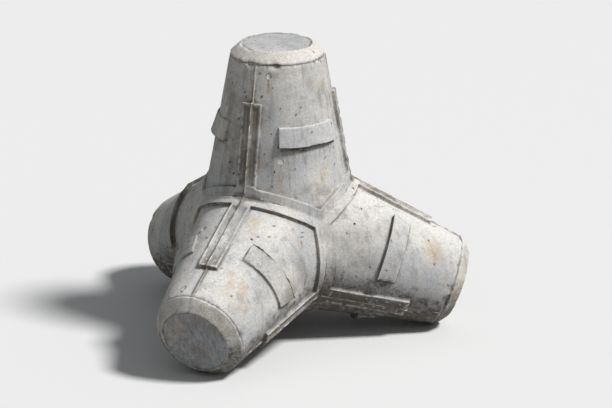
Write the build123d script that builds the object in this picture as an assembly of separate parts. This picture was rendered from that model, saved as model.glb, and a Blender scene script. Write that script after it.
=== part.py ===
from build123d import *
from itertools import combinations
from math import atan, cos, radians, sin, sqrt
import os

# A cast concrete tetrapod: four tapered legs that leave one body at equal angles.
# Millimetres, +Z up. It stands on three legs, and the fourth points straight up.
# The origin is the point where the four leg axes meet.

# Legs
leg_length = 1565.0        # from the point where the axes meet to the flat of the tip
tip_diameter = 734.0       # of the tapered side, carried on to the plane of the tip
root_diameter = 1290.0     # of the same taper, carried in to the point where the axes meet
chamfer_along = 78.0       # tip chamfer, measured along the leg
chamfer_across = 72.0      # tip chamfer, measured across the end

# Raised strips, left by the flanges of the mould
strip_raise = 30.0         # square to the tapered side
strip_width = 170.0        # down the legs, over the joints of the mould
strip_end = 400.0          # from the tip back to the square end of the strip
band_width = 165.0         # along the creases between the legs

# Stop pads, three round each leg, one between each pair of strips
pad_edge = 742.0           # from the tip back to the sharp inner edge of the pad
pad_length = 160.0         # along the leg
pad_span = 65.0            # degrees round the leg
pad_raise = 45.0           # at the inner edge
pad_lip = 16.0             # at the outer edge
pad_root = 150.0           # depth that the pad reaches into the leg

# Equal angles: the cosine between any two leg axes is -1/3. On the upright leg, each strip
# faces a lower leg, so the turns of the lower legs are those of its strips too.
leg_drop = 1.0 / 3.0                       # of a lower leg, for each unit of its length
leg_reach = sqrt(1.0 - leg_drop ** 2)      # sideways, for each unit of its length
lower_leg_turns = (90.0, 210.0, 330.0)     # degrees round +Z
strip_step = 360.0 / len(lower_leg_turns)  # degrees round a leg, from strip to strip

taper_rate = (root_diameter - tip_diameter) / 2 / leg_length
taper_cosine = cos(atan(taper_rate))


def side_radius(along):
    # radius of the tapered side at this distance from the point where the axes meet
    return root_diameter / 2 - taper_rate * along


def leg_directions():
    up = Vector(0, 0, 1)
    lower = [
        Vector(leg_reach * cos(radians(turn)), leg_reach * sin(radians(turn)), -leg_drop)
        for turn in lower_leg_turns
    ]
    return [up] + lower


def on_every_leg(shape):
    # a shape made round the upright leg, copied so that it sits on all four alike
    directions = leg_directions()
    copies = []
    for index, along in enumerate(directions):
        neighbour = directions[index - 1]
        place = Plane((0, 0, 0), x_dir=neighbour.cross(along), z_dir=along)
        copies.append(place * shape)
    return Part() + copies


def joined_legs(leg):
    # each leg ends halfway to its neighbours, so the four meet face to face at the creases
    up, *others = leg_directions()
    for other in others:
        leg = split(leg, bisect_by=Plane((0, 0, 0), z_dir=up - other), keep=Keep.TOP)
    return on_every_leg(leg)


def turned(points, arc=360.0):
    # an outline of radius and distance along the leg, turned about the leg's axis
    outline = Polyline([(radius, 0, along) for radius, along in points], close=True)
    return revolve(make_face(outline), Axis.Z, revolution_arc=arc)


def plain_leg():
    chamfer_start = leg_length - chamfer_along
    return turned([
        (0, 0),
        (side_radius(0), 0),
        (side_radius(chamfer_start), chamfer_start),
        (side_radius(leg_length) - chamfer_across, leg_length),
        (0, leg_length),
    ])


def raised_leg():
    # the tapered side alone, raised square to itself, as far out as the strips go
    growth = strip_raise / taper_cosine
    end = leg_length - strip_end
    return turned([
        (0, 0),
        (side_radius(0) + growth, 0),
        (side_radius(end) + growth, end),
        (0, end),
    ])


def sector_slab(first, second, width):
    # a flat slab between two directions, with its corner where the axes meet
    reach = 2 * leg_length
    sector = make_face(Polyline((0, 0, 0), first * reach, second * reach, close=True))
    return extrude(sector, width / 2, dir=first.cross(second), both=True)


def strips_and_bands():
    # each pair of legs has one strip from leg to leg and one band along the crease between
    directions = leg_directions()
    slabs = []
    for pair in combinations(directions, 2):
        others = [-each for each in directions if each not in pair]
        slabs.append(sector_slab(*pair, strip_width))
        slabs.append(sector_slab(*others, band_width))
    return joined_legs(raised_leg()) & (Part() + slabs)


def stop_pads():
    inner = leg_length - pad_edge
    outer = inner + pad_length
    pad = turned([
        (side_radius(outer) - pad_root, inner),
        (side_radius(inner) + pad_raise, inner),
        (side_radius(outer) + pad_lip, outer),
        (side_radius(outer) - pad_root, outer),
    ], pad_span)
    first_turn = (strip_step - pad_span) / 2
    pads = [Rot(0, 0, turn + first_turn) * pad for turn in lower_leg_turns]
    return on_every_leg(Part() + pads)


def tetrapod():
    return joined_legs(plain_leg()) + strips_and_bands() + stop_pads()


os.makedirs("parts", exist_ok=True)
export_step(tetrapod(), "parts/tetrapod.step")
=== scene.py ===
import random
from math import asin, atan2, cos, degrees, hypot, pi, radians, sin, sqrt

import bmesh
import bpy
import numpy as np
from mathutils import Matrix, Vector
from mathutils.bvhtree import BVHTree


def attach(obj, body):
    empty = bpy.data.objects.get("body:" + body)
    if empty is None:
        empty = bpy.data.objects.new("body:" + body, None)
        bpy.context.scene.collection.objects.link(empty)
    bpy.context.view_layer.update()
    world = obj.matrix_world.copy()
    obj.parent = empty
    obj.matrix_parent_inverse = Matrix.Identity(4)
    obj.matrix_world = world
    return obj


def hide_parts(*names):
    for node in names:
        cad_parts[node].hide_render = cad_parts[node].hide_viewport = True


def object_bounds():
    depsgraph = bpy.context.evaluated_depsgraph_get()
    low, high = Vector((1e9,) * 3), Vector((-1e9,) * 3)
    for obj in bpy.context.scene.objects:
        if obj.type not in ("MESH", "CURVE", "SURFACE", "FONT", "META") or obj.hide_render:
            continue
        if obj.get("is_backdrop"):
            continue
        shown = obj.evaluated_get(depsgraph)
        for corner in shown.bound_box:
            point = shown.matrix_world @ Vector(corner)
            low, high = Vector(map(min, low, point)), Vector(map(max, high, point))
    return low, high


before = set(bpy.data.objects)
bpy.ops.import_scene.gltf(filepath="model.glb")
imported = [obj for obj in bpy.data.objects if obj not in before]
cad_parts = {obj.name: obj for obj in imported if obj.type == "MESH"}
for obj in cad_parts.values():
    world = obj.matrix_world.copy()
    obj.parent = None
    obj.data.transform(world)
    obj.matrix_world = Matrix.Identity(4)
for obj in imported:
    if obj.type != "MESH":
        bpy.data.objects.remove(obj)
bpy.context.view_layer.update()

# The casting, in metres. One leg is modelled standing on the origin, then copied to all four.
casting = {
    "legLength": 1.565,
    "tipRadius": 0.367,          # of the tapered side, carried on to the end
    "rootRadius": 0.645,         # of the same taper, carried in to the middle
    "chamferAlong": 0.078,
    "chamferAcross": 0.072,
    "chamferRings": 6,
    "discRim": 0.014,
    "discSink": 0.006,           # the end face lies a little inside its rim
    "stripHalfWidth": 0.085,
    "stripEnd": 0.400,           # back from the tip
    "bandHalfWidth": 0.0825,
    "stripRaise": 0.030,         # of the strips and of the bands
    "padEdge": 0.742,            # back from the tip
    "padLength": 0.160,
    "padSpan": 65.0,             # degrees round the leg
    "padRaise": 0.045,           # at the edge nearer the body
    "padLip": 0.016,             # at the other edge
    "sharpTurn": 28,             # degrees between faces, past which their edge is rounded
    "edgeRound": 0.007,
    "smoothTurn": 50,            # degrees between faces, up to which they are shaded as one
    "finHalfWidth": 0.009,       # the thin flash along the joints of the mould
    "finRaise": 0.010,
    "troughDepth": 0.010,        # between the flash and the sides of a strip
    "troughSides": (0.020, 0.060),         # out from the middle of the strip
    "troughStart": 0.515,        # up the leg
    "troughShort": 0.030,        # of the end of the strip
    "plugs": ((1.385, 137), (0.72, 150)),  # up the leg, and degrees round it from its first strip
    "plugRadius": 0.024,
    "plugRim": 0.004,
    "plugSink": 0.005,
    "grooveBack": 0.020,         # from the chamfer back to the line round the leg
    "grooveHalfWidth": 0.008,
    "grooveDepth": 0.006,
    "knobHalf": 0.0065,          # the marks of bolts on a strip
    "knobRaise": 0.004,
    "knobSides": (0.033, 0.046),           # out from the middle of the strip
    "knobStep": 0.095,           # along the strip
    "knobShift": 0.3,            # of a step
    "knobSlack": 0.018,          # of each mark's place along the strip
    "knobCount": 4,
    "knobLevel": 0.8,            # how level the strip is round a mark, as a cosine
}
taper = (casting["rootRadius"] - casting["tipRadius"]) / casting["legLength"]
chamferStart = casting["legLength"] - casting["chamferAlong"]
flatRadius = casting["tipRadius"] - casting["chamferAcross"]
legDrop = 1 / 3
legReach = sqrt(1 - legDrop ** 2)
stripTurns = [90, 210, 330]      # on the upright leg; the lower legs lie the same way
sectorTurn = 360 / len(stripTurns)

# How near counts as touching, as on a line of the mould, and as one point
touching = 0.001
onLine = 0.0005
onePoint = 0.0004

# Faces across half the way from one strip to the next, and up the leg
across = {"fin": 1, "strip": 5, "plain": 10, "pad": 16}
upward = {"band": 5, "root": 24, "pad": 9, "upper": 10, "end": 16, "groove": 2, "rim": 1}
halfSector = sum(across.values())
rowCount = sum(upward.values())
columnCount = halfSector * 2 * len(stripTurns)


def sideRadius(z):
    return casting["rootRadius"] - taper * z


def legDirections():
    lower = [Vector((legReach * cos(radians(t)), legReach * sin(radians(t)), -legDrop)) for t in stripTurns]
    return [Vector((0, 0, 1))] + lower


def pick(obj):
    if bpy.context.object and bpy.context.object.mode != "OBJECT":
        bpy.ops.object.mode_set(mode="OBJECT")
    bpy.ops.object.select_all(action="DESELECT")
    obj.select_set(True)
    bpy.context.view_layer.objects.active = obj


def edit(obj, mode="FACE"):
    pick(obj)
    bpy.ops.object.mode_set(mode="EDIT")
    bpy.ops.mesh.select_mode(type=mode)
    bpy.ops.mesh.select_all(action="DESELECT")
    return bmesh.from_edit_mesh(obj.data)


def selectWhere(bm, kind, test):
    # selects the faces, edges or vertices that pass the test
    for part in getattr(bm, kind):
        part.select_set(bool(test(part)))
    bm.select_flush_mode()


def evenPlace(point):
    # column and row of a point on the leg while its faces are still all alike
    turn = (degrees(atan2(point.y, point.x)) - stripTurns[0]) % 360
    return turn / 360 * columnCount, point.z / chamferStart * rowCount


def columnTurn(column, radius):
    # degrees round the leg; the lines in a strip run parallel, the others fan out with the leg
    sector, step = divmod(column, halfSector * 2)
    back = step > halfSector
    step = halfSector * 2 - step if back else step
    stripLine = across["fin"] + across["strip"]
    padLine = stripLine + across["plain"]
    padMiddle = sectorTurn / 2
    padSide = padMiddle - casting["padSpan"] / 2
    if step <= stripLine:
        share = max(step - across["fin"], 0) / across["strip"]
        offset = casting["finHalfWidth"] + share * (casting["stripHalfWidth"] - casting["finHalfWidth"])
        turn = degrees(asin(offset / radius)) if step else 0
    elif step <= padLine:
        stripSide = degrees(asin(casting["stripHalfWidth"] / radius))
        turn = stripSide + (step - stripLine) / across["plain"] * (padSide - stripSide)
    else:
        turn = padSide + (step - padLine) / across["pad"] * (padMiddle - padSide)
    return (sectorTurn - turn if back else turn), sector


def heightAtCrease(column, offset):
    # where the side meets the plane midway to the next leg, or a plane that far out from it
    share = 1 / (1 + legDrop)
    z = 0.3                      # a first guess, and each round comes nearer
    for again in range(12):
        turn = columnTurn(column, sideRadius(z))[0]
        nearest = min(turn, sectorTurn - turn)
        lean = legReach * share * cos(radians(nearest))
        z = (offset * sqrt(2 / share) * share + lean * casting["rootRadius"]) / (1 + lean * taper)
    return z


def mouldLines(column):
    # the heights at which one kind of row ends and the next begins
    padStart = casting["legLength"] - casting["padEdge"]
    grooveTop = chamferStart - casting["grooveBack"] + casting["grooveHalfWidth"]
    return [
        heightAtCrease(column, 0),
        heightAtCrease(column, casting["bandHalfWidth"]),
        padStart,
        padStart + casting["padLength"],
        casting["legLength"] - casting["stripEnd"],
        grooveTop - 2 * casting["grooveHalfWidth"],
        grooveTop,
        chamferStart,
    ]


def slideLattice(bm):
    # rows and columns slide to the lines of the mould
    linesOf = [mouldLines(column) for column in range(columnCount)]
    for vertex in bm.verts:
        column, row = (round(value) for value in evenPlace(vertex.co))
        column %= columnCount
        for number, count in enumerate(upward.values()):
            if row <= count:
                break
            row -= count
        low, high = linesOf[column][number:number + 2]
        z = low + (high - low) * row / count
        turn, sector = columnTurn(column, sideRadius(z))
        angle = radians(stripTurns[sector] + turn)
        vertex.co = (sideRadius(z) * cos(angle), sideRadius(z) * sin(angle), z)


def markZones(bm):
    # 1 strip or band, 2 pad, 0 the plain side
    zone = bm.faces.layers.int.new("zone")
    stripLine = across["fin"] + across["strip"]
    padLine = stripLine + across["plain"]
    padRow = upward["band"] + upward["root"]
    stripRow = padRow + upward["pad"] + upward["upper"]
    for face in bm.faces:
        column, row = evenPlace(face.calc_center_median())
        step = column % (halfSector * 2)
        step = min(step, halfSector * 2 - step)
        if row < upward["band"] or (step < stripLine and row < stripRow):
            face[zone] = 1
        elif step > padLine and padRow < row < padRow + upward["pad"]:
            face[zone] = 2


def addLeg():
    bpy.ops.mesh.primitive_cone_add(vertices=columnCount, radius1=casting["rootRadius"], depth=chamferStart,
                                    radius2=sideRadius(chamferStart), end_fill_type="NOTHING",
                                    location=(0, 0, chamferStart / 2))
    leg = bpy.context.object
    leg.name = "leg"
    bpy.ops.object.transform_apply(location=True, rotation=True, scale=True)
    bm = edit(leg, "EDGE")
    selectWhere(bm, "edges", lambda e: abs(e.verts[0].co.z - e.verts[1].co.z) > chamferStart / 2)
    bpy.ops.mesh.subdivide(number_cuts=rowCount - 1)
    bm = bmesh.from_edit_mesh(leg.data)
    markZones(bm)
    slideLattice(bm)
    bmesh.update_edit_mesh(leg.data)
    return leg


def raisePads(leg):
    bm = edit(leg)
    zone = bm.faces.layers.int["zone"]
    selectWhere(bm, "faces", lambda f: f[zone] == 2)
    bpy.ops.mesh.extrude_region_move(TRANSFORM_OT_translate={"value": (0, 0, 0)})
    bm = bmesh.from_edit_mesh(leg.data)
    inner = casting["legLength"] - casting["padEdge"]
    outer = inner + casting["padLength"]
    innerRadius = sideRadius(inner) + casting["padRaise"]
    outerRadius = sideRadius(outer) + casting["padLip"]
    for vertex in bm.verts:
        if vertex.select:
            share = (vertex.co.z - inner) / casting["padLength"]
            radius = innerRadius + (outerRadius - innerRadius) * share
            grow = radius / hypot(vertex.co.x, vertex.co.y)
            vertex.co.x *= grow
            vertex.co.y *= grow
    bmesh.update_edit_mesh(leg.data)


def closeTip(leg):
    # the chamfer ring by ring, then the rim, the edge of the end face and its middle
    bm = edit(leg, "EDGE")
    selectWhere(bm, "edges", lambda e: min(v.co.z for v in e.verts) > chamferStart - touching)
    rings = casting["chamferRings"]
    startRadius = sideRadius(chamferStart)
    stations = [(chamferStart + casting["chamferAlong"] * n / rings,
                 startRadius + (flatRadius - startRadius) * n / rings) for n in range(1, rings + 1)]
    rimRadius = flatRadius - casting["discRim"]
    stations.append((casting["legLength"], rimRadius))
    stations.append((casting["legLength"] - casting["discSink"], rimRadius - casting["discSink"]))
    z, radius = chamferStart, startRadius
    for nextZ, nextRadius in stations:
        bpy.ops.mesh.extrude_region_move(TRANSFORM_OT_translate={"value": (0, 0, nextZ - z)})
        grow = nextRadius / radius
        bpy.ops.transform.resize(value=(grow, grow, 1), center_override=(0, 0, 0))
        z, radius = nextZ, nextRadius
    bpy.ops.mesh.fill_grid(span=columnCount // 4)
    print("one leg modelled")


def standOnLeg(source, direction):
    # a half turn about the line midway between two legs swaps them and keeps the strips in line
    pick(source)
    bpy.ops.object.duplicate()
    copy = bpy.context.object
    copy.matrix_world = Matrix.Rotation(pi, 4, Vector((0, 0, 1)) + direction)
    bpy.ops.object.transform_apply(location=True, rotation=True, scale=True)
    return copy


def joinLegs(leg):
    legs = [leg] + [standOnLeg(leg, direction) for direction in legDirections()[1:]]
    pick(leg)
    for part in legs:
        part.select_set(True)
    bpy.ops.object.join()
    whole = bpy.context.object
    whole.name = "tetrapodCasting"
    edit(whole, "VERT")
    bpy.ops.mesh.select_all(action="SELECT")
    bpy.ops.mesh.remove_doubles(threshold=onePoint)
    bpy.ops.mesh.normals_make_consistent(inside=False)
    print("four legs joined")
    return whole


def raiseStrips(whole):
    bm = edit(whole)
    zone = bm.faces.layers.int["zone"]
    selectWhere(bm, "faces", lambda f: f[zone] == 1)
    bpy.ops.mesh.extrude_region_shrink_fatten(
        TRANSFORM_OT_shrink_fatten={"value": casting["stripRaise"], "use_even_offset": True})


def legPlace(point):
    # the leg that a point belongs to, how far out along it, and how far from its axis
    axis = max(legDirections(), key=point.dot)
    along = point.dot(axis)
    return axis, along, (point - axis * along).length


def inEndFace(edge):
    axis, along, radius = legPlace((edge.verts[0].co + edge.verts[1].co) / 2)
    return along > casting["legLength"] - 2 * casting["discSink"] and radius < flatRadius - touching


def roundEdges(whole):
    # every corner of the casting, and the foot of every step, is a little round
    bm = edit(whole, "EDGE")
    sharp = radians(casting["sharpTurn"])
    selectWhere(bm, "edges", lambda e: e.calc_face_angle() > sharp and not inEndFace(e))
    bpy.ops.mesh.bevel(offset=casting["edgeRound"], segments=2, affect="EDGES", clamp_overlap=False)
    print("strips and bands raised, edges rounded")


def stripPlace(point):
    # how far out along its leg a point lies, how far from the leg's axis, and how far from a strip's middle
    axis, along, radius = legPlace(point)
    aside = 0.1                  # clear of the leg's own axis, and on the side towards the other leg
    offset = 1
    for other in legDirections():
        side = axis.cross(other)
        if side.length > aside and point.dot(other) + along * legDrop > aside:
            offset = min(offset, abs(point.dot(side.normalized())))
    return along, radius, offset


def onStrip(along, radius):
    return radius > sideRadius(along) + casting["stripRaise"] / 2


def shapeStrips(whole):
    # flash along the middle of every strip and on to the tip, with a trough at each side of it
    bm = edit(whole, "VERT")
    for name in ("pit", "knob", "seam", "plug"):
        bm.verts.layers.float.new(name)
    seam = bm.verts.layers.float["seam"]
    bm.normal_update()
    finEnd = chamferStart - casting["grooveBack"] - casting["grooveHalfWidth"]
    inner, outer = casting["troughSides"]
    troughEnd = casting["legLength"] - casting["stripEnd"] - casting["troughShort"]
    moves = []
    for vertex in bm.verts:
        along, radius, offset = stripPlace(vertex.co)
        if offset < onLine and along < finEnd:
            vertex[seam] = 1
            moves.append((vertex, vertex.normal * casting["finRaise"]))
        inTrough = inner < offset < outer and casting["troughStart"] < along < troughEnd
        if inTrough and onStrip(along, radius):
            moves.append((vertex, vertex.normal * -casting["troughDepth"]))
    for vertex, move in moves:
        vertex.co += move
    bmesh.update_edit_mesh(whole.data)


def markSelected(whole, name):
    # marks the points of the selected faces, for the material and for what comes after
    bm = bmesh.from_edit_mesh(whole.data)
    layer = bm.verts.layers.float[name]
    for face in bm.faces:
        if face.select:
            for vertex in face.verts:
                vertex[layer] = 1


def plugPlaces():
    places = []
    turns = [Matrix.Identity(3)]
    turns += [Matrix.Rotation(pi, 3, Vector((0, 0, 1)) + direction) for direction in legDirections()[1:]]
    for z, turn in casting["plugs"]:
        angle = radians(stripTurns[0] + turn)
        point = Vector((sideRadius(z) * cos(angle), sideRadius(z) * sin(angle), z))
        places += [turned @ point for turned in turns]
    return places


def addPlugs(whole):
    # the holes of the mould's ties, filled with mortar: the faces round one point are made round and sunk
    bm = edit(whole, "VERT")
    for place in plugPlaces():
        middle = min(bm.verts, key=lambda v: (v.co - place).length_squared)
        for face in middle.link_faces:
            for vertex in face.verts:
                if vertex != middle:
                    vertex.co = middle.co + (vertex.co - middle.co).normalized() * casting["plugRadius"]
            face.select_set(True)
    bpy.ops.mesh.select_mode(type="FACE")
    bpy.ops.mesh.inset(thickness=casting["plugRim"], depth=-casting["plugSink"])
    markSelected(whole, "plug")
    bmesh.update_edit_mesh(whole.data)


def sinkGrooves(whole):
    # the line round each leg where the end of the mould was bolted on
    bm = edit(whole, "VERT")
    bm.normal_update()
    middle = chamferStart - casting["grooveBack"]
    for vertex in bm.verts:
        if abs(legPlace(vertex.co)[1] - middle) < onLine:
            vertex.co -= vertex.normal * casting["grooveDepth"]
    bmesh.update_edit_mesh(whole.data)
    print("flash, troughs, plugs and tip lines shaped")


# Wear of the casting, in metres
wear = {
    "waveSize": 0.42, "waveDepth": 0.007,
    "skinSize": 0.06, "skinDepth": 0.0025,
    "chipSize": 0.05, "chipDepth": 0.010, "chipContrast": 5,         # on every corner
    "breakSize": 0.17, "breakDepth": 0.030, "breakContrast": 7,      # on the corners of the tips
    "breakBack": 0.06, "breakFade": 0.04,            # from the chamfer down the leg
    "chipBrightness": 1.75,                          # of both patterns; the brighter, the fewer
    "fineDetail": 3,
    "cornerGain": 4, "chipGain": 1.6, "breakGain": 2,
    "leastGain": 0.02,
    "pitCounts": {0.0035: 130, 0.005: 90, 0.0075: 34},               # by half their width
    "pitDepth": 0.7,                                 # of the width
    "pitLevel": 0.985,                               # how level the skin is round it, as a cosine
    "spotProfile": 0.1, "spotInset": 0.25, "spotRoom": 1.25,         # the last two of its half width
    "seed": 11,
    "rustCount": 8, "rustLength": (0.12, 0.38), "rustSeed": 5,
    "rustSlope": 0.55, "rustAbove": -0.5,            # on steep sides, and not low down
    "rustWidth": 0.016, "rustSpread": 0.10,          # at the top, and more for each metre down
    "rustRoom": 0.02, "rustLean": 0.45,              # off the side, and more for each metre down
    "skyRings": ((35, 0), (65, 0.5)),                # degrees from straight up, and share of a step turned
    "skyRays": 5,                                    # in each ring
    "skyFar": 4, "skyLift": 0.006, "skyGraze": 0.02,
    "dripReach": 0.55, "dripLift": 0.014, "dripSlope": 0.8,
    "bendGain": 5, "cornerShow": 1.5, "footShow": 2, "seamShow": 2,
    "endDepth": 0.03, "endSlack": 0.002,             # how near the tip counts as its end face
}


def edgeEnds(mesh):
    ends = np.zeros(len(mesh.edges) * 2, int)
    mesh.edges.foreach_get("vertices", ends)
    return ends[::2], ends[1::2]


def nearSum(ends, values):
    # what the neighbours of each point hold, added up
    first, second = ends
    count = len(values)
    return np.bincount(first, values[second], count) + np.bincount(second, values[first], count)


def smoothed(mesh, values, times):
    ends = edgeEnds(mesh)
    neighbours = nearSum(ends, np.ones(len(values)))
    for again in range(times):
        values = (values + nearSum(ends, values) / neighbours) / 2
    return values


def vertexArray(mesh, name):
    values = np.zeros(len(mesh.vertices) * 3)
    mesh.vertices.foreach_get(name, values)
    return values.reshape(-1, 3)


def bendOf(mesh):
    # above nought in a hollow, below nought on a corner
    points, normals = vertexArray(mesh, "co"), vertexArray(mesh, "normal")
    ends = edgeEnds(mesh)
    first, second = ends
    neighbours = nearSum(ends, np.ones(len(points)))
    length = np.linalg.norm(points[first] - points[second], axis=1)
    span = (np.bincount(first, length, len(points)) + np.bincount(second, length, len(points))) / neighbours
    lean = np.zeros(len(points))
    for axis in range(3):
        lean += (nearSum(ends, points[:, axis]) / neighbours - points[:, axis]) * normals[:, axis]
    return lean / span


def store(mesh, name, values):
    layer = mesh.attributes.get(name) or mesh.attributes.new(name, "FLOAT", "POINT")
    layer.data.foreach_set("value", np.clip(values, 0, 1).astype(np.float32))


def alongLegs(mesh):
    points = vertexArray(mesh, "co")
    return np.max([points @ np.array(axis) for axis in legDirections()], axis=0)


def weigh(whole, name, values):
    group = whole.vertex_groups.new(name=name)
    for number in np.flatnonzero(values > wear["leastGain"]):
        group.add([int(number)], float(min(values[number], 1)), "REPLACE")


def relief(whole, name, size, depth, contrast=1, brightness=1, detail=2, group=""):
    # a cloudy pattern pushed into the surface, never out of it
    pattern = bpy.data.textures.new(name, "CLOUDS")
    pattern.noise_scale = size
    pattern.noise_depth = detail
    pattern.contrast = contrast
    pattern.intensity = brightness
    pattern.use_clamp = True
    push = whole.modifiers.new(name, "DISPLACE")
    push.texture = pattern
    push.texture_coords = "LOCAL"
    push.strength = depth
    push.mid_level = 1
    push.vertex_group = group
    pick(whole)
    bpy.ops.object.modifier_apply(modifier=name)


def weatherShape(whole):
    pick(whole)
    corner = smoothed(whole.data, np.clip(-bendOf(whole.data) * wear["cornerGain"], 0, 1), 1)
    pastStart = alongLegs(whole.data) - chamferStart + wear["breakBack"]
    atTip = np.clip(pastStart / wear["breakFade"], 0, 1)
    weigh(whole, "corners", corner * wear["chipGain"])
    weigh(whole, "rims", smoothed(whole.data, corner * atTip, 3) * wear["breakGain"])
    relief(whole, "waves", wear["waveSize"], wear["waveDepth"])
    relief(whole, "skin", wear["skinSize"], wear["skinDepth"], detail=wear["fineDetail"])
    relief(whole, "chips", wear["chipSize"], wear["chipDepth"], wear["chipContrast"],
           wear["chipBrightness"], wear["fineDetail"], "corners")
    relief(whole, "breaks", wear["breakSize"], wear["breakDepth"], wear["breakContrast"],
           wear["chipBrightness"], wear["fineDetail"], "rims")
    whole.vertex_groups.clear()
    print("waves, skin, chips and breaks worked in")


def roundSpots(whole, chosen, half, depth, mark):
    # a small round dent or knob at each chosen point
    bm = edit(whole, "VERT")
    selectWhere(bm, "verts", lambda v: v.index in chosen)
    bpy.ops.mesh.bevel(offset=half, affect="VERTICES", segments=2, profile=wear["spotProfile"])
    bpy.ops.mesh.select_mode(type="FACE")
    markSelected(whole, mark)
    bpy.ops.mesh.inset(thickness=half * wear["spotInset"], depth=depth)
    bpy.ops.object.mode_set(mode="OBJECT")


def levelPoints(whole, half, least):
    # points of the surface that are level enough, with room for a spot away from every other spot
    bm = edit(whole, "VERT")
    marks = [bm.verts.layers.float[name] for name in ("pit", "knob", "seam", "plug")]
    points = []
    for vertex in bm.verts:
        near = [edge.other_vert(vertex) for edge in vertex.link_edges]
        level = min(vertex.normal.dot(each.normal) for each in near)
        room = min(edge.calc_length() for edge in vertex.link_edges)
        free = max(each[mark] for each in near + [vertex] for mark in marks) == 0
        if len(near) == 4 and level > least and room > half * wear["spotRoom"] and free:
            points.append((vertex.index, vertex.co.copy()))
    return points


def raiseKnobs(whole):
    # marks of the bolts beside the joint, on the outer half of each strip
    inner, outer = casting["knobSides"]
    chosen = set()
    for number, point in levelPoints(whole, casting["knobHalf"], casting["knobLevel"]):
        along, radius, offset = stripPlace(point)
        fromEnd = casting["legLength"] - casting["stripEnd"] - along
        step = fromEnd / casting["knobStep"] + casting["knobShift"]
        counted = 1 <= step < casting["knobCount"] + 1
        spaced = step % 1 * casting["knobStep"] < casting["knobSlack"]
        if counted and spaced and onStrip(along, radius) and inner < offset < outer:
            chosen.add(number)
    roundSpots(whole, chosen, casting["knobHalf"], casting["knobRaise"], "knob")
    print("bolt marks raised:", len(chosen))


def sinkPits(whole):
    # blow holes left by air against the mould
    draw = random.Random(wear["seed"])
    for half, count in wear["pitCounts"].items():
        free = [number for number, point in levelPoints(whole, half, wear["pitLevel"])]
        roundSpots(whole, set(draw.sample(free, count)), half, -half * 2 * wear["pitDepth"], "pit")
    print("blow holes sunk:", sum(wear["pitCounts"].values()))


def skyDirections():
    # straight up, and rings of slanting directions round it
    directions = [Vector((0, 0, 1))]
    for lean, share in wear["skyRings"]:
        for number in range(wear["skyRays"]):
            turn = radians(360 / wear["skyRays"] * (number + share))
            sideways = sin(radians(lean))
            directions.append(Vector((sideways * cos(turn), sideways * sin(turn), cos(radians(lean)))))
    return directions


def measureRain(whole):
    # how much open sky each point sees, and how near above it a ledge drips
    pick(whole)
    mesh = whole.data
    tree = BVHTree.FromObject(whole, bpy.context.evaluated_depsgraph_get())
    directions = skyDirections()
    sky = np.zeros(len(mesh.vertices))
    drip = np.zeros(len(mesh.vertices))
    for number, vertex in enumerate(mesh.vertices):
        start = vertex.co + vertex.normal * wear["skyLift"]
        for direction in directions:
            facing = direction.dot(vertex.normal)
            if facing > wear["skyGraze"] and tree.ray_cast(start, direction, wear["skyFar"])[0] is None:
                sky[number] += facing
        if abs(vertex.normal.z) < wear["dripSlope"]:
            start = vertex.co + vertex.normal * wear["dripLift"]
            found = tree.ray_cast(start, directions[0], wear["dripReach"])[3]
            if found is not None:
                drip[number] = 1 - found / wear["dripReach"]
    store(mesh, "sky", smoothed(mesh, sky / sky.max(), 1))
    store(mesh, "drip", smoothed(mesh, drip, 2))
    print("open sky and drips measured")


def markFinish(whole):
    # where the corners, the feet of steps, the end faces, their rims and the flash are
    mesh = whole.data
    bend = bendOf(mesh) * wear["bendGain"]
    points = vertexArray(mesh, "co")
    along = alongLegs(mesh)
    radius = np.sqrt(np.maximum((points ** 2).sum(1) - along ** 2, 0))
    store(mesh, "corner", smoothed(mesh, np.clip(-bend, 0, 1), 1) * wear["cornerShow"])
    store(mesh, "foot", smoothed(mesh, np.clip(bend, 0, 1), 2) * wear["footShow"])
    onEnd = along > casting["legLength"] - wear["endDepth"]
    onEnd &= radius < flatRadius - casting["discRim"] + wear["endSlack"]
    store(mesh, "endFace", onEnd.astype(float))
    onRim = along > chamferStart + wear["endSlack"]
    store(mesh, "rim", (onRim & ~onEnd).astype(float))
    seam = np.zeros(len(mesh.vertices))
    mesh.attributes["seam"].data.foreach_get("value", seam)
    store(mesh, "seam", smoothed(mesh, seam, 1) * wear["seamShow"])


def markRust(whole):
    # a few ties left in the concrete, each with the stain that has run down from it
    mesh = whole.data
    points, normals = vertexArray(mesh, "co"), vertexArray(mesh, "normal")
    steep = np.flatnonzero((np.abs(normals[:, 2]) < wear["rustSlope"]) & (points[:, 2] > wear["rustAbove"]))
    draw = random.Random(wear["rustSeed"])
    rust = np.zeros(len(points))
    starts = draw.sample(list(steep), wear["rustCount"])
    for place in plugPlaces():
        starts.append(np.argmin(np.linalg.norm(points - place - (0, 0, -casting["plugRadius"]), axis=1)))
    for start in starts:
        length = draw.uniform(*wear["rustLength"])
        outward = normals[start] * (1, 1, 0)
        outward /= np.linalg.norm(outward) + touching        # so that nothing is divided by nought
        beside = np.array((-outward[1], outward[0], 0))
        gap = points - points[start]
        drop = -gap[:, 2]
        near = np.abs(gap @ outward) < wear["rustRoom"] + wear["rustLean"] * np.abs(drop)
        near &= (drop > -wear["rustRoom"]) & (drop < length)
        width = wear["rustWidth"] + wear["rustSpread"] * np.clip(drop, 0, 1)
        fade = 1 - np.clip(drop, 0, length) / length
        run = np.clip(1 - (np.abs(gap @ beside) / width) ** 2, 0, 1) * fade
        rust = np.maximum(rust, np.where(near, run, 0))
    store(mesh, "rust", rust)


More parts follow.
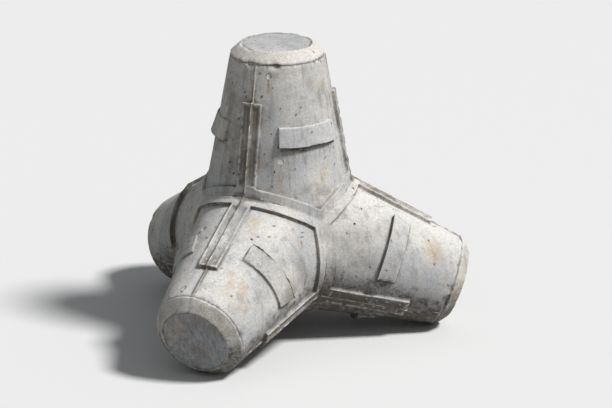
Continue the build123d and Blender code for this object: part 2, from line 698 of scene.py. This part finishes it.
def addCasting():
    leg = addLeg()
    raisePads(leg)
    closeTip(leg)
    whole = joinLegs(leg)
    raiseStrips(whole)
    roundEdges(whole)
    shapeStrips(whole)
    addPlugs(whole)
    sinkGrooves(whole)
    weatherShape(whole)
    raiseKnobs(whole)
    sinkPits(whole)
    markFinish(whole)
    markRust(whole)
    measureRain(whole)
    bpy.ops.object.shade_smooth_by_angle(angle=radians(casting["smoothTurn"]))
    print("casting done, triangles:", sum(len(p.vertices) - 2 for p in whole.data.polygons))
    return whole


# Colours of the concrete, as linear red, green and blue
tones = {
    "cool": (0.42, 0.425, 0.43),
    "pale": (0.605, 0.58, 0.54),
    "mid": (0.475, 0.452, 0.42),
    "bleached": (0.705, 0.685, 0.65),
    # the end faces' own darker finish, made darker and bluer still as painted shade
    "endFace": (0.32, 0.33, 0.345),
    "rim": (0.64, 0.60, 0.54),
    "tan": (0.50, 0.395, 0.26),
    "rust": (0.17, 0.065, 0.028),
    "rustRun": (0.33, 0.215, 0.13),
    "darkStone": (0.20, 0.18, 0.165),
    "paleStone": (0.66, 0.60, 0.52),
    # dark brown of damp undersides and of the feet of steps, partly painted shade
    "dampAndShade": (0.115, 0.095, 0.075),
    "streak": (0.13, 0.13, 0.13),
    "seam": (0.17, 0.115, 0.075),
    # the dark inside pores and pits, painted shade in the holes
    "pore": (0.16, 0.15, 0.135),
    "grime": (0.245, 0.22, 0.19),
    "growth": (0.055, 0.05, 0.042),
    "darkSpeckle": (0.55, 0.55, 0.55),     # the last four only darken or lighten what lies under them
    "paleSpeckle": (1.35, 1.35, 1.35),
    "darkGrit": (0.6, 0.6, 0.6),
    "paleGrit": (1.35, 1.35, 1.35),
}

# Its patterns: scale, detail, roughness and distortion
patterns = {
    "patches": (1.5, 6, 0.6, 0.3),
    "clouds": (3.6, 8, 0.66, 0.2),
    "mottle": (8, 7, 0.62),
    "speckle": (60, 5, 0.7),
    "grit": (260, 3, 0.7),
    "runs": (17, 6, 0.6, 0.25),
    "fineRuns": (46, 5, 0.6, 0.2),
    "layers": (2.2, 5, 0.6, 0.4),
    "tan": (2.7, 7, 0.65, 0.6),
    "tanBreaks": (13, 4, 0.6),
    "growth": (20, 9, 0.75),
    "seamBreaks": (21, 3),
    "rustRuns": (34, 6, 0.65),
    "crackPlaces": (1.9, 2),
}

# Where in a pattern or a mark each finish starts, where it is full, and how much of it then shows
shows = {
    "pale": (0.38, 0.62),
    "mid": (0.45, 0.68, 0.6),
    "openSky": (0.45, 0.95),
    "washed": (0.30, 0.55, 0.85),
    "rim": (0.35, 0.6, 0.75),
    "endFace": (0.2, 0.6, 0.8),
    "layers": (0.5, 0.75, 0.35),
    "grime": (0.46, 0.66, 0.7),
    "lessSky": (0.85, 0.25),
    "tan": (0.56, 0.70, 0.65),
    "tanBreaks": (0.35, 0.6),
    "steep": (0.92, 0.5),
    "runs": (0.50, 0.68),
    "fineRuns": (0.40, 0.70),
    "drips": (0.56, 1.0, 0.58),
    "dampAndShade": (0.34, 0.02, 0.9),
    "dampAndShadeBreaks": (0.22, 0.58),
    "low": (0.44, 0.14),
    "growth": (0.58, 0.72, 0.85),
    "foot": (0.1, 0.9, 0.75),
    "footPatches": (0.32, 0.56),
    "footBreaks": (0.25, 0.5),
    "seam": (0.35, 0.6, 0.75),
    "rustBreaks": (0.34, 0.58),
    "rustRuns": (0.02, 0.9, 0.8),
    "rustHeart": (0.72, 0.98),
    "rust": (0.3, 0.55, 0.9),
    "worn": (0.15, 0.8, 0.6),
    "wornBreaks": (0.42, 0.62),
    "bare": (0.42, 0.6),
    "stones": (0.55, 0.30),
    "stoneChance": (0.35, 0.45),
    "cracks": (0.008, 0.0),
    "crackPlaces": (0.58, 0.64),
    "poreSize": (0.86, 1.0, 0.17),
    "poreChance": (0.86, 0.88),
    "poreEdge": (0.06, 0.0),
    "speckle": (0.25, 0.75),
    "grit": (0.25, 0.75),
}

# How strong the rest is
finish = {
    "fallStretch": (1, 1, 0.055),          # long and upright, as rain runs
    "layerStretch": (0.5, 0.5, 7),         # wide and flat, as the concrete was poured
    "endSky": 0.2,                         # an end face stays cleaner than the sky over it would keep it
    "growthLow": 0.12,
    "streakCover": 0.38,
    "dripMiddle": 0.5, "dripUneven": 0.6,
    "knobCover": 0.5,
    "plugCover": 0.75,
    "rimBare": 0.8,
    "stoneScale": 75.0, "stoneCover": 0.55,
    "swayScale": 6.0, "swayDetail": 5.0, "sway": 0.17,
    "plateScale": 2.6, "crackCover": 0.45,
    "poreScale": 46.0, "poreCover": 0.7,
    "speckleCover": 0.45,
    "gritCover": 0.3,
    "bumpStrength": 0.75, "bumpHeight": 0.004,
    "mottleBump": 0.8, "speckleBump": 0.55, "gritBump": 0.22,
    "poreBump": -1.1, "crackBump": -0.9, "stoneBump": 0.5,
    "dryRough": 0.93, "wetRough": 0.68, "gloss": 0.35,
}


def put(tree, kind, inputs=None, **settings):
    # adds a node; an input that comes from another node is linked, any other is set
    made = tree.nodes.new("ShaderNode" + kind)
    for name, value in settings.items():
        setattr(made, name, value)
    for name, value in (inputs or {}).items():
        if isinstance(value, bpy.types.NodeSocket):
            tree.links.new(value, made.inputs[name])
        else:
            made.inputs[name].default_value = value
    return made


def noise(tree, place, scale, detail=4, roughness=0.55, distortion=0):
    return put(tree, "TexNoise", {"Vector": place, "Scale": scale, "Detail": detail, "Roughness": roughness,
                                  "Distortion": distortion}).outputs[0]


def ease(tree, value, low, high, top=1):
    return put(tree, "MapRange", {"Value": value, "From Min": low, "From Max": high, "To Max": top},
               interpolation_type="SMOOTHSTEP").outputs["Result"]


def calc(tree, operation, first, second=0):
    return put(tree, "Math", {0: first, 1: second}, operation=operation).outputs[0]


def product(tree, *values):
    result = values[0]
    for value in values[1:]:
        result = calc(tree, "MULTIPLY", result, value)
    return result


def blend(tree, share, under, over, mode="MIX"):
    made = put(tree, "Mix", {0: share}, data_type="RGBA", blend_type=mode)
    for number, colour in ((6, under), (7, over)):       # the Mix node's sockets for colours
        if isinstance(colour, bpy.types.NodeSocket):
            tree.links.new(colour, made.inputs[number])
        else:
            made.inputs[number].default_value = (*colour, 1)
    return made.outputs[2]


def marked(tree, name):
    return put(tree, "Attribute", attribute_name=name, attribute_type="GEOMETRY").outputs["Fac"]


def weatheredConcrete():
    material = bpy.data.materials.new("weathered concrete")
    material.use_nodes = True
    tree = material.node_tree
    tree.nodes.clear()
    place = put(tree, "TexCoord").outputs["Object"]
    falling = put(tree, "Mapping", {"Vector": place, "Scale": finish["fallStretch"]}).outputs[0]
    level = put(tree, "Mapping", {"Vector": place, "Scale": finish["layerStretch"]}).outputs[0]
    facing = put(tree, "SeparateXYZ", {0: put(tree, "NewGeometry").outputs["Normal"]}).outputs["Z"]
    sky, drip, corner, foot = (marked(tree, name) for name in ("sky", "drip", "corner", "foot"))
    endFace, rim, seam, pit = (marked(tree, name) for name in ("endFace", "rim", "seam", "pit"))
    knob, rust, plug = (marked(tree, name) for name in ("knob", "rust", "plug"))

    patches = noise(tree, place, *patterns["patches"])
    clouds = noise(tree, place, *patterns["clouds"])
    mottle = noise(tree, place, *patterns["mottle"])
    speckle = noise(tree, place, *patterns["speckle"])
    grit = noise(tree, place, *patterns["grit"])
    runs = noise(tree, falling, *patterns["runs"])
    fineRuns = noise(tree, falling, *patterns["fineRuns"])
    layers = noise(tree, level, *patterns["layers"])

    # cool and pale patches, bleached where the sky is open
    colour = blend(tree, ease(tree, patches, *shows["pale"]), tones["cool"], tones["pale"])
    colour = blend(tree, ease(tree, mottle, *shows["mid"]), colour, tones["mid"])
    washed = product(tree, ease(tree, sky, *shows["openSky"]), ease(tree, mottle, *shows["washed"]))
    colour = blend(tree, washed, colour, tones["bleached"])
    rimShare = product(tree, rim, ease(tree, clouds, *shows["rim"]))
    colour = blend(tree, rimShare, colour, tones["rim"])
    # end faces darker and bluer: partly their own finish, partly painted shade
    endFinishAndShade = product(tree, endFace, ease(tree, mottle, *shows["endFace"]))
    colour = blend(tree, endFinishAndShade, colour, tones["endFace"])
    colour = blend(tree, ease(tree, layers, *shows["layers"]), colour, tones["mid"])
    grime = product(tree, ease(tree, clouds, *shows["grime"]), ease(tree, sky, *shows["lessSky"]))
    colour = blend(tree, grime, colour, tones["grime"])

    # tan stains
    tanNoise = noise(tree, place, *patterns["tan"])
    tanBreaks = noise(tree, place, *patterns["tanBreaks"])
    tanShare = product(tree, ease(tree, tanNoise, *shows["tan"]),
                       ease(tree, tanBreaks, *shows["tanBreaks"]))
    colour = blend(tree, tanShare, colour, tones["tan"])

    # streaks down the steep sides
    steep = ease(tree, calc(tree, "ABSOLUTE", facing), *shows["steep"])
    streaks = product(tree, ease(tree, runs, *shows["runs"]), steep, calc(tree, "SUBTRACT", 1, endFace),
                      finish["streakCover"])
    colour = blend(tree, streaks, colour, tones["streak"])

    # drips below the ledges, each with its own length
    longer = product(tree, calc(tree, "SUBTRACT", runs, finish["dripMiddle"]), finish["dripUneven"])
    fallen = calc(tree, "ADD", drip, longer)
    drips = product(tree, ease(tree, fineRuns, *shows["fineRuns"]), ease(tree, fallen, *shows["drips"]))
    colour = blend(tree, drips, colour, tones["streak"])

    # dark brown damp where little sky is seen, partly painted shade on the undersides, growth there too,
    # and dirt with painted shade at the foot of each step
    openness = calc(tree, "ADD", sky, product(tree, endFace, finish["endSky"]))
    dampAndShade = product(tree, ease(tree, openness, *shows["dampAndShade"]), ease(tree, mottle, *shows["dampAndShadeBreaks"]))
    colour = blend(tree, dampAndShade, colour, tones["dampAndShade"])
    low = ease(tree, openness, *shows["low"])
    growthNoise = calc(tree, "ADD", noise(tree, place, *patterns["growth"]),
                       product(tree, low, finish["growthLow"]))
    growth = product(tree, ease(tree, growthNoise, *shows["growth"]), low)
    colour = blend(tree, growth, colour, tones["growth"])
    # the feet of steps and other hollows darker: partly dirt, partly painted shade
    footDirtAndShade = product(tree, ease(tree, foot, *shows["foot"]), ease(tree, clouds, *shows["footPatches"]),
                   ease(tree, mottle, *shows["footBreaks"]))
    colour = blend(tree, footDirtAndShade, colour, tones["dampAndShade"])
    seamBreaks = noise(tree, place, *patterns["seamBreaks"])
    seamShare = product(tree, seam, ease(tree, seamBreaks, *shows["seam"]))
    colour = blend(tree, seamShare, colour, tones["seam"])

    # rust where a tie is left, and its run below
    rustNoise = noise(tree, falling, *patterns["rustRuns"])
    rustRuns = product(tree, ease(tree, rustNoise, *shows["rustBreaks"]),
                       ease(tree, rust, *shows["rustRuns"]))
    colour = blend(tree, rustRuns, colour, tones["rustRun"])
    rustSpots = product(tree, ease(tree, rust, *shows["rustHeart"]), ease(tree, speckle, *shows["rust"]))
    colour = blend(tree, rustSpots, colour, tones["rust"])

    # pale worn corners, plugs and bolt marks
    worn = product(tree, ease(tree, corner, *shows["worn"]), ease(tree, mottle, *shows["wornBreaks"]))
    colour = blend(tree, worn, colour, tones["bleached"])
    spots = calc(tree, "MAXIMUM", product(tree, knob, finish["knobCover"]), plug)
    colour = blend(tree, product(tree, spots, finish["plugCover"]), colour, tones["bleached"])

    # stones in the concrete, bare where it is worn
    stones = put(tree, "TexVoronoi", {"Vector": place, "Scale": finish["stoneScale"], "Randomness": 1.0})
    stoneTone = put(tree, "SeparateColor", {0: stones.outputs["Color"]}).outputs[1]
    bare = product(tree, calc(tree, "MAXIMUM", product(tree, rim, finish["rimBare"]), worn),
                   ease(tree, clouds, *shows["bare"]))
    pebble = product(tree, ease(tree, stones.outputs["Distance"], *shows["stones"]),
                     ease(tree, stoneTone, *shows["stoneChance"]), bare)
    stoneColour = blend(tree, stoneTone, tones["darkStone"], tones["paleStone"])
    colour = blend(tree, product(tree, pebble, finish["stoneCover"]), colour, stoneColour)

    # fine cracks, in a few places
    sway = put(tree, "TexNoise", {"Vector": place, "Scale": finish["swayScale"],
                                  "Detail": finish["swayDetail"]}).outputs["Color"]
    swayed = put(tree, "MixRGB", {0: finish["sway"], 1: place, 2: sway}).outputs[0]
    plates = put(tree, "TexVoronoi", {"Vector": swayed, "Scale": finish["plateScale"]},
                 feature="DISTANCE_TO_EDGE")
    crackNoise = noise(tree, place, *patterns["crackPlaces"])
    crack = product(tree, ease(tree, plates.outputs["Distance"], *shows["cracks"]),
                    ease(tree, crackNoise, *shows["crackPlaces"]))
    colour = blend(tree, product(tree, crack, finish["crackCover"]), colour, tones["streak"])

    # pores too small to model, in a few of the cells, and the modelled pits, darkened as painted shade
    # inside the holes
    cells = put(tree, "TexVoronoi", {"Vector": place, "Scale": finish["poreScale"], "Randomness": 1.0})
    chance = put(tree, "SeparateColor", {0: cells.outputs["Color"]}).outputs[0]
    size = ease(tree, chance, *shows["poreSize"])
    fromEdge = calc(tree, "SUBTRACT", cells.outputs["Distance"], size)
    pore = product(tree, ease(tree, fromEdge, *shows["poreEdge"]), ease(tree, chance, *shows["poreChance"]))
    holeShade = product(tree, calc(tree, "MAXIMUM", pore, pit), finish["poreCover"])
    colour = blend(tree, holeShade, colour, tones["pore"])

    # speckle and grit over everything
    speckles = blend(tree, ease(tree, speckle, *shows["speckle"]), tones["darkSpeckle"],
                     tones["paleSpeckle"])
    colour = blend(tree, finish["speckleCover"], colour, speckles, "MULTIPLY")
    grains = blend(tree, ease(tree, grit, *shows["grit"]), tones["darkGrit"], tones["paleGrit"])
    colour = blend(tree, finish["gritCover"], colour, grains, "MULTIPLY")

    # the fine relief, too small to model
    height = product(tree, mottle, finish["mottleBump"])
    for pattern, name in ((speckle, "speckle"), (grit, "grit"), (pore, "pore"), (crack, "crack"),
                          (pebble, "stone")):
        height = calc(tree, "ADD", height, product(tree, pattern, finish[name + "Bump"]))
    bump = put(tree, "Bump", {"Height": height, "Strength": finish["bumpStrength"],
                              "Distance": finish["bumpHeight"]})
    rough = put(tree, "MapRange", {"Value": calc(tree, "MAXIMUM", dampAndShade, drips),
                                   "To Min": finish["dryRough"], "To Max": finish["wetRough"]})
    shader = put(tree, "BsdfPrincipled", {"Base Color": colour, "Roughness": rough.outputs[0],
                                          "Normal": bump.outputs[0],
                                          "Specular IOR Level": finish["gloss"]})
    output = put(tree, "OutputMaterial")
    tree.links.new(shader.outputs[0], output.inputs["Surface"])
    print("concrete mixed")
    return material


# Stage, light and camera
studio = {
    "floorSize": 60.0,
    "floorTone": (0.70, 0.70, 0.69),       # as the camera sees it
    "floorBounce": (0.42, 0.42, 0.42),     # as it lights the casting from below
    "floorRough": 0.9,
    "skyStrength": 0.25,
    "skyTone": (0.93, 0.965, 1.0),
    "keyTurn": 308,              # degrees round +Z
    "keyRise": 52,
    "keySpread": 12,             # degrees across, so that shadows have soft edges
    "keyPower": 3.9,
    "cameraTurn": 236,
    "cameraRise": 18,
    "cameraDistance": 32.0,
    "cameraSight": 200,
    "aim": (0.28, 0.0, 0.14),
    "lens": 230,
}


def around(turn, rise, distance):
    return Vector((cos(radians(turn)) * cos(radians(rise)), sin(radians(turn)) * cos(radians(rise)),
                   sin(radians(rise)))) * distance


def addFloor(height):
    bpy.ops.object.select_all(action="DESELECT")
    bpy.ops.mesh.primitive_plane_add(size=studio["floorSize"], location=(0, 0, height))
    floor = bpy.context.object
    floor.name = "floor"
    material = bpy.data.materials.new("plain floor")
    material.use_nodes = True
    tree = material.node_tree
    shader = tree.nodes["Principled BSDF"]
    rays = put(tree, "LightPath")
    seen = calc(tree, "MAXIMUM", rays.outputs["Is Camera Ray"], rays.outputs["Is Glossy Ray"])
    tone = blend(tree, seen, studio["floorBounce"], studio["floorTone"])
    tree.links.new(tone, shader.inputs["Base Color"])
    shader.inputs["Roughness"].default_value = studio["floorRough"]
    floor.data.materials.append(material)
    floor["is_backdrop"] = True


def addLight():
    world = bpy.data.worlds.new("studio")
    bpy.context.scene.world = world
    world.use_nodes = True
    background = world.node_tree.nodes["Background"]
    background.inputs["Color"].default_value = (*studio["skyTone"], 1)
    background.inputs["Strength"].default_value = studio["skyStrength"]
    place = around(studio["keyTurn"], studio["keyRise"], studio["cameraDistance"])
    bpy.ops.object.light_add(type="SUN", location=place)     # even all over the floor
    key = bpy.context.object
    key.name = "key light"
    key.data.energy = studio["keyPower"]
    key.data.angle = radians(studio["keySpread"])
    key.rotation_euler = (-place).to_track_quat("-Z", "Y").to_euler()


def addCamera():
    aim = Vector(studio["aim"])
    place = aim + around(studio["cameraTurn"], studio["cameraRise"], studio["cameraDistance"])
    bpy.ops.object.camera_add(location=place)
    camera = bpy.context.object
    camera.rotation_euler = (aim - place).to_track_quat("-Z", "Y").to_euler()
    camera.data.lens = studio["lens"]
    camera.data.clip_end = studio["cameraSight"]
    bpy.context.scene.camera = camera


piece = addCasting()
piece.data.materials.clear()
piece.data.materials.append(weatheredConcrete())
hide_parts("tetrapod")
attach(piece, "root")

addFloor(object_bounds()[0].z)
addLight()
addCamera()
bpy.context.scene.view_settings.view_transform = "Standard"
print("studio ready")
